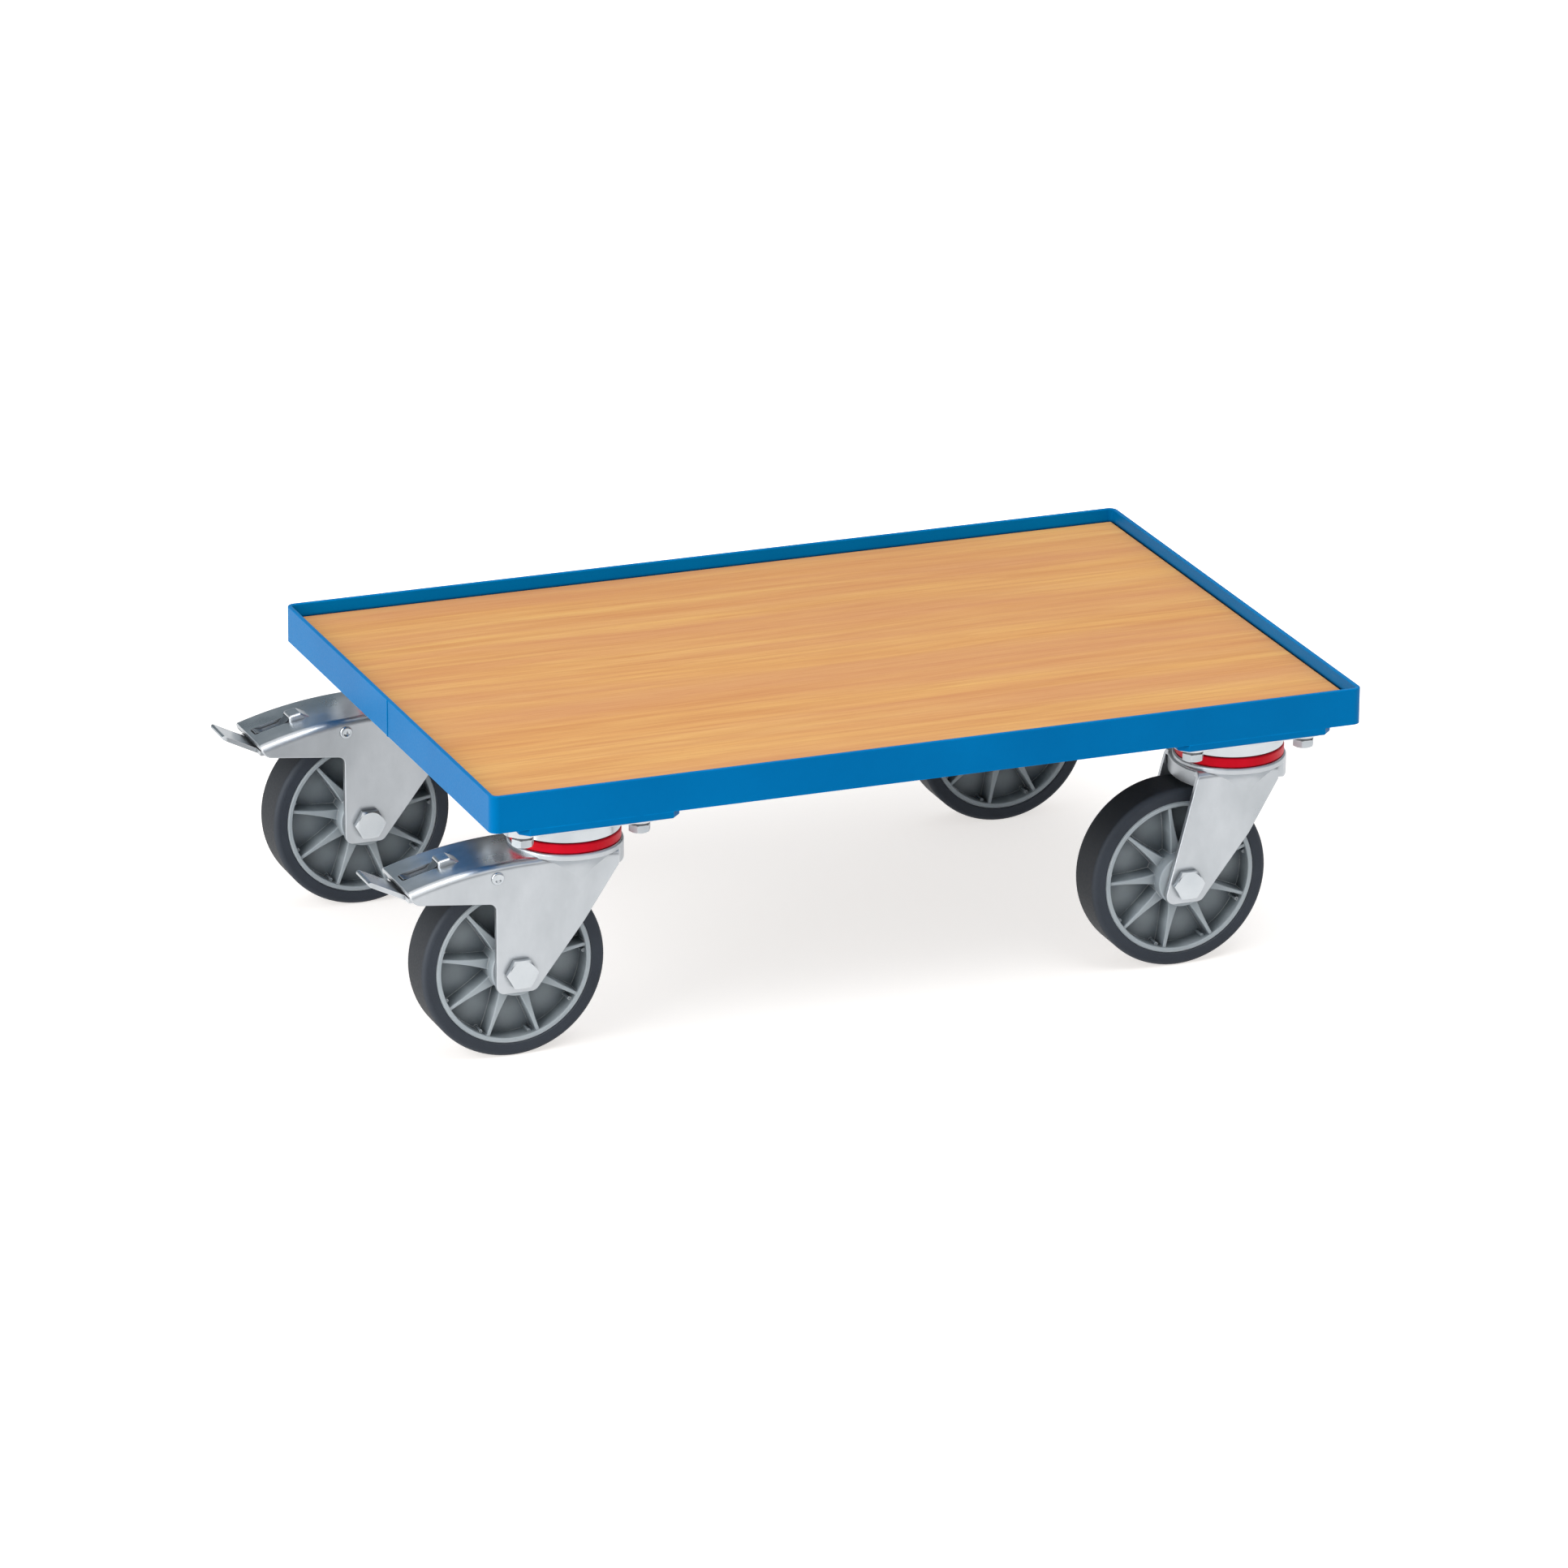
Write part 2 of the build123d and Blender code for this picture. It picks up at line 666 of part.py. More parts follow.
# Brake pivot pin: shank through both sides of the hood, riveted heads outside.
with BuildPart() as pivot_pin:
    with BuildSketch(Plane.XZ):
        with Locations(pivot):
            Circle(pivot_pin_diameter / 2)
    extrude(amount=fork_half + pivot_head_height, both=True)
    for head_plane in (Plane.XZ.offset(fork_half), Plane.XZ.offset(-fork_half - pivot_head_height)):
        with BuildSketch(head_plane):
            with Locations(pivot):
                Circle(pivot_head_diameter / 2)
        extrude(amount=pivot_head_height)
    fillet(
        pivot_pin.edges().filter_by(GeomType.CIRCLE).group_by(Axis.Y)[0]
        + pivot_pin.edges().filter_by(GeomType.CIRCLE).group_by(Axis.Y)[-1],
        pivot_head_rounding,
    )

# Brake pedal: bent sheet lever, rolled round the pivot pin, with its tip kicked up behind the hood.
pedal_bend = (pivot[0] - pedal_bend_reach, pivot[1] - pedal_bend_drop)
pedal_tip = (pivot[0] - pedal_tip_reach, pivot[1] + pedal_tip_rise)
with BuildPart() as brake_pedal:
    with BuildSketch(Plane.XZ):
        with BuildLine():
            FilletPolyline(pivot, pedal_bend, pedal_tip, radius=pedal_bend_radius)
            offset(amount=pedal_sheet / 2)
        make_face()
        with Locations(pivot):
            Circle(pedal_ear_radius)
            Circle(pivot_pin_diameter / 2 + pivot_fit, mode=Mode.SUBTRACT)
    extrude(amount=pedal_width / 2, both=True)
    with BuildSketch(Plane.XY.offset(bridge_top)) as pedal_plan:
        pedal_neck = hood_last[0] + pedal_hood_margin
        pedal_head = pivot[0] + pedal_width
        with Locations(((pedal_neck + pedal_head) / 2, 0)):
            Rectangle(pedal_head - pedal_neck, pedal_width)
        with Locations(((pedal_tip[0] - pedal_sheet + pedal_neck) / 2, 0)):
            Rectangle(pedal_neck - pedal_tip[0] + pedal_sheet, pedal_tip_width)
        fillet(pedal_plan.vertices().group_by(Axis.X)[0], pedal_tip_radius)
    extrude(amount=axle_z, mode=Mode.INTERSECT)

# Brake shoe: block under the pedal, hollowed to the tyre as it stands at the end of the travel.
pedal_length = math.hypot(pedal_bend_reach, pedal_bend_drop)
pedal_along = (-pedal_bend_reach / pedal_length, -pedal_bend_drop / pedal_length)
pedal_down = (pedal_along[1], -pedal_along[0])


def under_pedal(distance, depth):
    """Point at a distance along the pedal from its pivot and a depth below its underside."""
    drop = pedal_sheet / 2 + depth
    return (
        pivot[0] + pedal_along[0] * distance - pedal_down[0] * drop,
        pivot[1] + pedal_along[1] * distance - pedal_down[1] * drop,
    )


travel = math.radians(brake_travel)
axle_from_pivot = (axle_x - pivot[0], axle_z - pivot[1])
pressed_axle = (
    pivot[0] + axle_from_pivot[0] * math.cos(travel) + axle_from_pivot[1] * math.sin(travel),
    pivot[1] - axle_from_pivot[0] * math.sin(travel) + axle_from_pivot[1] * math.cos(travel),
)
with BuildPart() as brake_shoe:
    with BuildSketch(Plane.XZ):
        with BuildLine():
            Polyline(
                under_pedal(shoe_start, 0),
                under_pedal(shoe_end, 0),
                under_pedal(shoe_end, wheel_width),
                under_pedal(shoe_start, wheel_width),
                close=True,
            )
        make_face()
        with Locations(pressed_axle):
            Circle(wheel_diameter / 2 + shoe_end_gap, mode=Mode.SUBTRACT)
    extrude(amount=shoe_width / 2, both=True)

# Brake spring: leaf that lies in the hood's slot, curled up at its free end, and held by the keeper.
leaf_start = slot_start + spring_side_gap + spring_sheet / 2
leaf_dip = leaf_start + spring_curl_length
leaf_rise = slot_end - spring_rise_length
leaf_end = keeper_crest - spring_side_gap - spring_sheet / 2
leaf_seat = hollow_rise - spring_rest_gap - spring_sheet / 2
leaf_bend_radius = 2 * spring_sheet
with BuildPart() as brake_spring:
    with BuildSketch(Plane.XZ):
        with BuildLine():
            FilletPolyline(
                (leaf_start, hood_top(leaf_start)),
                (leaf_dip, hood_top(leaf_dip) - spring_drop),
                (leaf_rise, hood_top(leaf_rise) - spring_drop),
                (slot_end + spring_side_gap, hood_top(slot_end) + leaf_seat),
                (leaf_end, hood_top(leaf_end) + leaf_seat),
                radius=leaf_bend_radius,
            )
            offset(amount=spring_sheet / 2)
        make_face()
    extrude(amount=hood_slot_width / 2 - spring_side_gap, both=True)

# Wheel pieces, with the axle along Y through their own origin.
rim_radius = wheel_diameter / 2 - tyre_thickness
ring_inner_radius = rim_radius - ring_wall
hub_half = fork_inner_width / 2 - hub_side_gap
wheel_half = wheel_width / 2
web_half = web_thickness / 2
bore_radius = bearing_diameter / 2

# Wheel rib: reaches from the hub to the ring on both sides of the web, drafted, with hollow flanks.
rib_foot = (hub_diameter / 2 + bore_radius) / 2
rib_end = rim_radius - ring_wall / 2
rib_middle = (hub_diameter / 2 + ring_inner_radius) / 2
with BuildPart() as wheel_rib:
    with BuildSketch(Plane.XZ):
        with BuildLine():
            foot_corners = [(rib_foot, side * rib_hub_width / 2) for side in (-1, 1)]
            flanks = [(rib_middle, side * rib_middle_width / 2) for side in (-1, 1)]
            end_corners = [(rib_end, side * rib_ring_width / 2) for side in (-1, 1)]
            ThreePointArc(foot_corners[0], flanks[0], end_corners[0])
            Line(end_corners[0], end_corners[1])
            ThreePointArc(end_corners[1], flanks[1], foot_corners[1])
            Line(foot_corners[1], foot_corners[0])
        make_face()
    extrude(amount=wheel_half - rib_recess, both=True, taper=rib_draft)
    rib_faces = wheel_rib.faces().sort_by(Axis.Y)
    fillet(rib_faces[0].edges() + rib_faces[-1].edges(), rib_edge_radius)

# Wheel rim: hub, web and ring turned in one, ribs on both sides, a small round boss beside each rib.
with BuildPart() as wheel_rim:
    with BuildSketch(Plane.XY) as rim_section:
        with BuildLine():
            Polyline(
                (bore_radius, -hub_half),
                (hub_diameter / 2, -hub_half),
                (hub_diameter / 2, -web_half),
                (ring_inner_radius, -web_half),
                (ring_inner_radius, -wheel_half),
                (rim_radius - tyre_bead_chamfer, -wheel_half),
                (rim_radius, -wheel_half + tyre_bead_chamfer),
                (rim_radius, wheel_half - tyre_bead_chamfer),
                (rim_radius - tyre_bead_chamfer, wheel_half),
                (ring_inner_radius, wheel_half),
                (ring_inner_radius, web_half),
                (hub_diameter / 2, web_half),
                (hub_diameter / 2, hub_half),
                (bore_radius, hub_half),
                close=True,
            )
        make_face()
        hub_rims = [(hub_diameter / 2, -hub_half), (hub_diameter / 2, hub_half)]
        ring_rims = [(ring_inner_radius, -wheel_half), (ring_inner_radius, wheel_half)]
        for rims, radius in ((hub_rims, hub_edge_radius), (ring_rims, ring_edge_radius)):
            for place in rims:
                fillet(rim_section.vertices().sort_by_distance(place)[0], radius)
    revolve(axis=Axis.Y)
    rib_angles = [-rib_turn - step * 360 / rib_count for step in range(rib_count)]
    with Locations(*[Location((0, 0, 0), (0, angle, 0)) for angle in rib_angles]):
        add(wheel_rib.part)
    with BuildSketch(Plane.XZ):
        boss_circle = ring_inner_radius + rib_boss_overlap - rib_boss_diameter / 2
        with PolarLocations(boss_circle, rib_count, start_angle=rib_turn - rib_boss_lag):
            Circle(rib_boss_diameter / 2)
    extrude(amount=wheel_half - rib_boss_recess, both=True)

# Tyre: flat tread with round shoulders, moulded on the rim.
with BuildPart() as tyre:
    with BuildSketch(Plane.XY):
        with BuildLine():
            Polyline(
                (rim_radius + tyre_fit, -wheel_half + tyre_bead_chamfer),
                (rim_radius + tyre_fit + tyre_bead_chamfer, -wheel_half),
                (wheel_diameter / 2, -wheel_half),
                (wheel_diameter / 2, wheel_half),
                (rim_radius + tyre_fit + tyre_bead_chamfer, wheel_half),
                (rim_radius + tyre_fit, wheel_half - tyre_bead_chamfer),
                close=True,
            )
        make_face()
    revolve(axis=Axis.Y)
    fillet(
        tyre.edges().filter_by(GeomType.CIRCLE).sort_by(SortBy.RADIUS)[-2:],
        tyre_shoulder_radius,
    )

# Roller cage: runs on the axle tube and sits in the hub's bore.
with BuildPart() as wheel_bearing:
    with BuildSketch(Plane.XZ):
        Circle(bearing_diameter / 2 - bearing_fit)
        Circle(axle_tube_diameter / 2 + bearing_fit, mode=Mode.SUBTRACT)
    extrude(amount=hub_half, both=True)

# Axle tube: spacer clamped between the fork's legs by the axle bolt.
with BuildPart() as axle_tube:
    with BuildSketch(Plane.XZ):
        Circle(axle_tube_diameter / 2)
        Circle(axle_diameter / 2 + axle_fit, mode=Mode.SUBTRACT)
    extrude(amount=fork_inner_width / 2, both=True)

# Axle bolt: hexagon head in front of the near leg, thread out past the nut.
with BuildPart() as axle_bolt:
    with BuildSketch(Plane.XZ.offset(fork_half)):
        RegularPolygon(axle_flats / 2, 6, major_radius=False)
    extrude(amount=axle_head_height)
    with BuildSketch(Plane.XZ.offset(fork_half + axle_head_height)):
        Circle(hex_cone(axle_flats))
    extrude(amount=-axle_head_height, taper=-hex_chamfer_angle, mode=Mode.INTERSECT)
    with BuildSketch(Plane.XZ.offset(fork_half)):
        Circle(axle_diameter / 2)
    extrude(amount=-(2 * fork_half + axle_nut_height + axle_tip))

# Axle nut on the far leg.
with BuildPart() as axle_nut:
    with BuildSketch(Plane.XZ.offset(-fork_half)):
        RegularPolygon(axle_flats / 2, 6, major_radius=False)
    extrude(amount=-axle_nut_height)
    with BuildSketch(Plane.XZ.offset(-fork_half - axle_nut_height)):
        Circle(hex_cone(axle_flats))
    extrude(amount=axle_nut_height, taper=-hex_chamfer_angle, mode=Mode.INTERSECT)
    with BuildSketch(Plane.XZ.offset(-fork_half)):
        Circle(axle_diameter / 2 + axle_fit)
    extrude(amount=-axle_nut_height, mode=Mode.SUBTRACT)


def write_piece(piece, name, place, turn=0):
    """Write a copy of a castor piece, moved to its place and turned on its axle, as its own node."""
    node = piece.part.moved(Location(place, (0, -turn, 0)))
    node.label = name
    export_step(node, f"parts/{name}.step")


# The same castor pieces at all four corners; the brake and hooded fork only at the -X end.
head_pieces = {
    "top_plate": top_plate,
    "kingpin": kingpin,
    "lower_race": lower_race,
    "seal_ring": seal_ring,
}
wheel_pieces = {
    "wheel_rim": wheel_rim,
    "tyre": tyre,
    "wheel_bearing": wheel_bearing,
    "axle_tube": axle_tube,
    "axle_bolt": axle_bolt,
    "axle_nut": axle_nut,
}
turning_pieces = ("wheel_rim", "tyre", "wheel_bearing")
brake_pieces = {
    "pivot_pin": pivot_pin,
    "brake_pedal": brake_pedal,
    "brake_shoe": brake_shoe,
    "brake_spring": brake_spring,
}
for corner, (x, y) in castors.items():
    head_place = (x, y, castor_top)
    wheel_place = (x + axle_x, y, castor_top + axle_z)
    for piece_name, piece in head_pieces.items():
        write_piece(piece, f"{piece_name}_{corner}", head_place)
    for piece_name, piece in wheel_pieces.items():
        rest_turn = wheel_rests[corner] if piece_name in turning_pieces else 0
        write_piece(piece, f"{piece_name}_{corner}", wheel_place, rest_turn)
    if corner in braked:
        write_piece(braked_fork, f"fork_{corner}", head_place)
        for piece_name, piece in brake_pieces.items():
            write_piece(piece, f"{piece_name}_{corner}", head_place)
    else:
        write_piece(plain_fork, f"fork_{corner}", head_place)
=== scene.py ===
import math

import bpy
from mathutils import Matrix, Vector


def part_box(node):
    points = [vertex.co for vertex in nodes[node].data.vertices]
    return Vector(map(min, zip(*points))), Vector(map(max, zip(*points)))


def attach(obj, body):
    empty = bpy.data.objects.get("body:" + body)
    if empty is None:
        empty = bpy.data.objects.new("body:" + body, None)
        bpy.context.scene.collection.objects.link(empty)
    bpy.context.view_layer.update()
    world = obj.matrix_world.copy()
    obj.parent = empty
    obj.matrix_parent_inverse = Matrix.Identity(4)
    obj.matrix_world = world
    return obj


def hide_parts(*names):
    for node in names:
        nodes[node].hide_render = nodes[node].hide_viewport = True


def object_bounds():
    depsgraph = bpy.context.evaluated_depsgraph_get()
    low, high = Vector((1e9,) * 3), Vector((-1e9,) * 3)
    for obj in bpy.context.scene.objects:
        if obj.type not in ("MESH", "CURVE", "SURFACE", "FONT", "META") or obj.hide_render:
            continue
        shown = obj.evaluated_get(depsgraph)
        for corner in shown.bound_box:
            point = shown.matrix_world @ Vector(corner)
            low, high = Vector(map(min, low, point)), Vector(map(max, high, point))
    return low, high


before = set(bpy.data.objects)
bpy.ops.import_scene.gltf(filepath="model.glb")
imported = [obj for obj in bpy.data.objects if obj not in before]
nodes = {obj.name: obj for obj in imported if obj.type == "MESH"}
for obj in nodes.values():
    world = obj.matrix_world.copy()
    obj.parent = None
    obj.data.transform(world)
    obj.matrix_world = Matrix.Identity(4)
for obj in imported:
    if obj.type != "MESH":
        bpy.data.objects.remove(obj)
cad_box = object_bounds()

# Rim: one length of angle steel, bent to a closed ring and welded where its ends meet.
# It is powder coated in bright blue with the faint orange peel that such a coat has. Its edges are
# lighter with wear and a painted highlight, and painted shade darkens the gap beside the board.
mm = 0.001


def place_node(tree, kind, options=None, inputs=None):
    """Add a shader node, set its options, and fill or link its inputs."""
    node = tree.nodes.new(kind)
    for option, value in (options or {}).items():
        setattr(node, option, value)
    for socket, value in (inputs or {}).items():
        if isinstance(value, bpy.types.NodeSocket):
            tree.links.new(value, node.inputs[socket])
        else:
            node.inputs[socket].default_value = value
    return node


def calculate(tree, operation, *values):
    """Result of a maths operation on one or two values."""
    step = place_node(tree, "ShaderNodeMath", {"operation": operation}, dict(enumerate(values)))
    return step.outputs["Value"]


def vector_step(tree, operation, *vectors):
    """Node of an operation on one to three vectors."""
    return place_node(
        tree, "ShaderNodeVectorMath", {"operation": operation}, dict(enumerate(vectors))
    )


def noise(tree, vector, **settings):
    """Noise texture over a vector, with its settings by socket name."""
    return place_node(tree, "ShaderNodeTexNoise", None, {"Vector": vector, **settings})


def window(tree, value, low, high, interpolation="LINEAR"):
    """Share from 0 to 1 by which a value has gone from low to high."""
    share = place_node(
        tree,
        "ShaderNodeMapRange",
        {"interpolation_type": interpolation},
        {"Value": value, "From Min": low, "From Max": high},
    )
    return share.outputs["Result"]


def spread(tree, share, low, high):
    """A share from 0 to 1, spread over the range from low to high."""
    ranged = place_node(
        tree, "ShaderNodeMapRange", None, {"Value": share, "To Min": low, "To Max": high}
    )
    return ranged.outputs["Result"]


def chip(red, green, blue):
    """Linear colour of a paint chip whose red, green and blue run from 0 to 255."""
    parts = [part / 255 for part in (red, green, blue)]
    linear = [p / 12.92 if p <= 0.04045 else ((p + 0.055) / 1.055) ** 2.4 for p in parts]
    return (*linear, 1.0)


def blend_colours(tree, share, first, second):
    """Mix of two colours, from the first at a share of 0 to the second at 1."""
    mix = place_node(
        tree, "ShaderNodeMix", {"data_type": "RGBA"}, {0: share, 6: first, 7: second}
    )
    return mix.outputs[2]


def start_group(name, inputs, outputs):
    """New shader node group with typed inputs and float outputs, and its two end nodes."""
    group = bpy.data.node_groups.new(name, "ShaderNodeTree")
    for label, kind in inputs.items():
        group.interface.new_socket(label, in_out="INPUT", socket_type=kind)
    for label in outputs:
        group.interface.new_socket(label, in_out="OUTPUT", socket_type="NodeSocketFloat")
    return group, group.nodes.new("NodeGroupInput"), group.nodes.new("NodeGroupOutput")


# Edges where the surface turns sharply, broken into patches by a noise: the mask for painted edge
# highlights along with wear.
edge_highlight_and_wear, group_in, group_out = start_group(
    "edge_highlight_and_wear", {"Width": "NodeSocketFloat", "Patches": "NodeSocketFloat"}, ["Mask"]
)
rounded = place_node(
    edge_highlight_and_wear, "ShaderNodeBevel", {"samples": 6}, {"Radius": group_in.outputs["Width"]}
)
flat = place_node(edge_highlight_and_wear, "ShaderNodeNewGeometry")
turn = vector_step(edge_highlight_and_wear, "DOT_PRODUCT", rounded.outputs["Normal"], flat.outputs["Normal"])
sharpness = window(edge_highlight_and_wear, turn.outputs["Value"], low=0.985, high=0.82)
where = place_node(edge_highlight_and_wear, "ShaderNodeTexCoord")
patches = noise(
    edge_highlight_and_wear, where.outputs["Object"], Scale=group_in.outputs["Patches"], Detail=4.0
)
patch_share = window(edge_highlight_and_wear, patches.outputs["Fac"], low=0.3, high=0.62)
lit_and_worn = calculate(edge_highlight_and_wear, "MULTIPLY", sharpness, patch_share)
edge_highlight_and_wear.links.new(lit_and_worn, group_out.inputs["Mask"])

# Soft cloudy variation and a fine grain, stretched along a piece where the finish has a direction.
mottling, group_in, group_out = start_group(
    "mottling",
    {
        "Cloud Scale": "NodeSocketFloat",
        "Grain Scale": "NodeSocketFloat",
        "Stretch": "NodeSocketVector",
    },
    ["Clouds", "Grain"],
)
where = place_node(mottling, "ShaderNodeTexCoord")
stretched = vector_step(
    mottling, "MULTIPLY", where.outputs["Object"], group_in.outputs["Stretch"]
)
for label, scale_label, detail in (("Clouds", "Cloud Scale", 3.0), ("Grain", "Grain Scale", 6.0)):
    texture = noise(
        mottling,
        stretched.outputs["Vector"],
        Scale=group_in.outputs[scale_label],
        Detail=detail,
    )
    contrast = window(mottling, texture.outputs["Fac"], low=0.28, high=0.72)
    mottling.links.new(contrast, group_out.inputs[label])


def start_finish(name):
    """New material, with its node tree and its Principled shader."""
    finish = bpy.data.materials.new(name)
    finish.use_nodes = True
    return finish, finish.node_tree, finish.node_tree.nodes["Principled BSDF"]


def mottle(tree, cloud_scale, grain_scale, stretch=(1.0, 1.0, 1.0)):
    """Shares of cloud and of grain over a piece."""
    group = place_node(
        tree,
        "ShaderNodeGroup",
        {"node_tree": mottling},
        {"Cloud Scale": cloud_scale, "Grain Scale": grain_scale, "Stretch": stretch},
    )
    return group.outputs["Clouds"], group.outputs["Grain"]


def edge_highlight_share(tree, width, patches, most):
    """Share of painted highlight and wear along a piece's edges, up to the most that it reaches."""
    group = place_node(
        tree, "ShaderNodeGroup", {"node_tree": edge_highlight_and_wear}, {"Width": width, "Patches": patches}
    )
    return spread(tree, group.outputs["Mask"], 0.0, most)


def open_share(tree, reach, low, high, only_local=False):
    """Share from 0 in corners and gaps to 1 in the open, judged within a reach."""
    openness = place_node(
        tree,
        "ShaderNodeAmbientOcclusion",
        {"samples": 8, "only_local": only_local},
        {"Distance": reach},
    )
    return window(tree, openness.outputs["AO"], low, high)


def relief(tree, height, strength, depth, under=None):
    """Normal bumped by a height, over another normal where there is one."""
    inputs = {"Height": height, "Strength": strength, "Distance": depth}
    if under is not None:
        inputs["Normal"] = under
    return place_node(tree, "ShaderNodeBump", None, inputs).outputs["Normal"]


def feed(tree, shader, **sockets):
    """Link values to a shader's sockets, named with an underscore for each space."""
    for socket, value in sockets.items():
        tree.links.new(value, shader.inputs[socket.replace("_", " ")])


def dress(finish, *node_names):
    """Give CAD nodes a finish in their own material slots."""
    for node_name in node_names:
        for material_slot in nodes[node_name].material_slots:
            material_slot.material = finish


blue_coat, tree, shader = start_finish("blue_powder_coat")
coat_deep = chip(0, 106, 168)
coat_bright = chip(0, 116, 180)
coat_edge_highlight = chip(0, 146, 222)
coat_glint = chip(0, 160, 225)
coat_gap_shade = chip(10, 16, 26)
clouds, grain = mottle(tree, cloud_scale=9.0, grain_scale=700.0)
# Painted highlight with some wear: the coat lightens along its edges.
lit_worn_edges = edge_highlight_share(tree, width=1.1 * mm, patches=60.0, most=0.55)
# Painted shade: the coat darkens in gaps and corners, as beside the board.
out_of_gap_shade = open_share(tree, reach=2.5 * mm, low=0.4, high=0.9)
coat_body = blend_colours(tree, clouds, coat_deep, coat_bright)
coat_edged = blend_colours(tree, lit_worn_edges, coat_body, coat_edge_highlight)
feed(
    tree,
    shader,
    Base_Color=blend_colours(tree, out_of_gap_shade, coat_gap_shade, coat_edged),
    Roughness=spread(tree, grain, low=0.34, high=0.44),
    Normal=relief(tree, grain, strength=0.12, depth=0.2 * mm),
)
shader.inputs["Specular IOR Level"].default_value = 0.15
shader.inputs["Specular Tint"].default_value = coat_glint
dress(blue_coat, "rim_frame")

# Weld seam of the rim: the butt joint in the middle of the left short side.
# The bead is ground nearly flush, runs down the face and along the lower leg's underside,
# and is coated with the rest.
rim_low, rim_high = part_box("rim_frame")
angle_leg = 25 * mm
seam_y = -4 * mm
face_inset = 1.4 * mm
face_drop = (0.6 * mm, 1.1 * mm, 1.3 * mm)
underside_inset = 1.0 * mm
underside_drop = (1.5 * mm, 2.0 * mm, 0.8 * mm)


def lay_weld(name, start, end, drop_size, pitch, skin):
    """Weld bead from start to end, laid as overlapping drops and fused into one rippled skin."""
    run = Vector(end) - Vector(start)
    count = max(2, round(run.length / pitch))
    bpy.ops.object.select_all(action="DESELECT")
    bpy.ops.mesh.primitive_uv_sphere_add(segments=20, ring_count=12, radius=1.0, location=start)
    bead = bpy.context.object
    bead.name = name
    bead.scale = drop_size
    bpy.ops.object.transform_apply(location=True, rotation=True, scale=True)
    drops = bead.modifiers.new("drops", "ARRAY")
    drops.use_relative_offset = False
    drops.use_constant_offset = True
    drops.constant_offset_displace = run / count
    drops.count = count + 1
    fused = bead.modifiers.new("fused", "REMESH")
    fused.mode = "VOXEL"
    fused.voxel_size = skin
    settled = bead.modifiers.new("settled", "SMOOTH")
    settled.factor = 0.5
    settled.iterations = 2
    for step in ("drops", "fused", "settled"):
        bpy.ops.object.modifier_apply(modifier=step)
    bpy.ops.object.shade_smooth()
    bead.data.materials.append(blue_coat)
    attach(bead, "deck")


lay_weld(
    "rim_seam_face",
    start=(rim_low.x, seam_y, rim_low.z + face_inset),
    end=(rim_low.x, seam_y, rim_high.z - face_inset),
    drop_size=face_drop,
    pitch=1.4 * mm,
    skin=0.16 * mm,
)
lay_weld(
    "rim_seam_underside",
    start=(rim_low.x + underside_inset, seam_y, rim_low.z),
    end=(rim_low.x + angle_leg - underside_inset, seam_y, rim_low.z),
    drop_size=underside_drop,
    pitch=1.8 * mm,
    skin=0.25 * mm,
)

# Corner plates: flat steel, one under each corner, which take the castor screws.
# They are welded to the rim from below before it is coated, with one run along the plate's outer
# end and a short one across its inner end.
dress(blue_coat, "corner_plates")
plates_low, plates_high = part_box("corner_plates")
plate_length = 110 * mm
plate_chamfer = 6 * mm
plate_drop = (2.4 * mm, 1.6 * mm, 2.2 * mm)
end_run_start = 20 * mm
end_run_length = 60 * mm
inner_run_start = plate_chamfer + 1 * mm
inner_run_end = angle_leg - 2 * mm
for side_x, end_x, inward in (("left", plates_low.x, 1), ("right", plates_high.x, -1)):
    inner_x = end_x + inward * plate_length
    for side_y, edge_y, towards in (("front", plates_low.y, 1), ("back", plates_high.y, -1)):
        for run_name, run_x, run_start, run_end in (
            ("end", end_x, end_run_start, end_run_start + end_run_length),
            ("inner", inner_x, inner_run_start, inner_run_end),
        ):
            lay_weld(
                f"plate_weld_{run_name}_{side_y}_{side_x}",
                start=(run_x, edge_y + towards * run_start, rim_low.z),
                end=(run_x, edge_y + towards * run_end, rim_low.z),
                drop_size=plate_drop,
                pitch=1.9 * mm,
                skin=0.3 * mm,
            )

# Board: chipboard that lies loose on the rim's lower leg, with beech decor above and grey film below,
# made dark as painted shade.
# The grain runs along the board: broad bands, fine streaks, and the short dark flecks of beech,
# under a lightly textured satin film.
beech, tree, shader = start_finish("beech_decor")
beech_light = chip(227, 180, 109)
beech_middle = chip(218, 163, 98)
beech_dark = chip(188, 118, 70)
beech_rose = chip(207, 147, 101)
beech_fleck = chip(184, 122, 78)
film_shade_dark = chip(112, 112, 110)
film_shade_light = chip(124, 123, 120)
where = place_node(tree, "ShaderNodeTexCoord")
waver = noise(tree, where.outputs["Object"], Scale=3.0, Detail=1.0)
wander_reach = (0.0, 0.024, 0.0)
wander = vector_step(
    tree, "MULTIPLY_ADD", waver.outputs["Color"], wander_reach, where.outputs["Object"]
)


def grain_layer(along, across, detail, low, high):
    """Noise drawn out along the board, with its contrast set by low and high."""
    drawn = vector_step(tree, "MULTIPLY", wander.outputs["Vector"], (along, across, across))
    texture = noise(tree, drawn.outputs["Vector"], Scale=1.0, Detail=detail, Roughness=0.55)
    return window(tree, texture.outputs["Fac"], low, high)


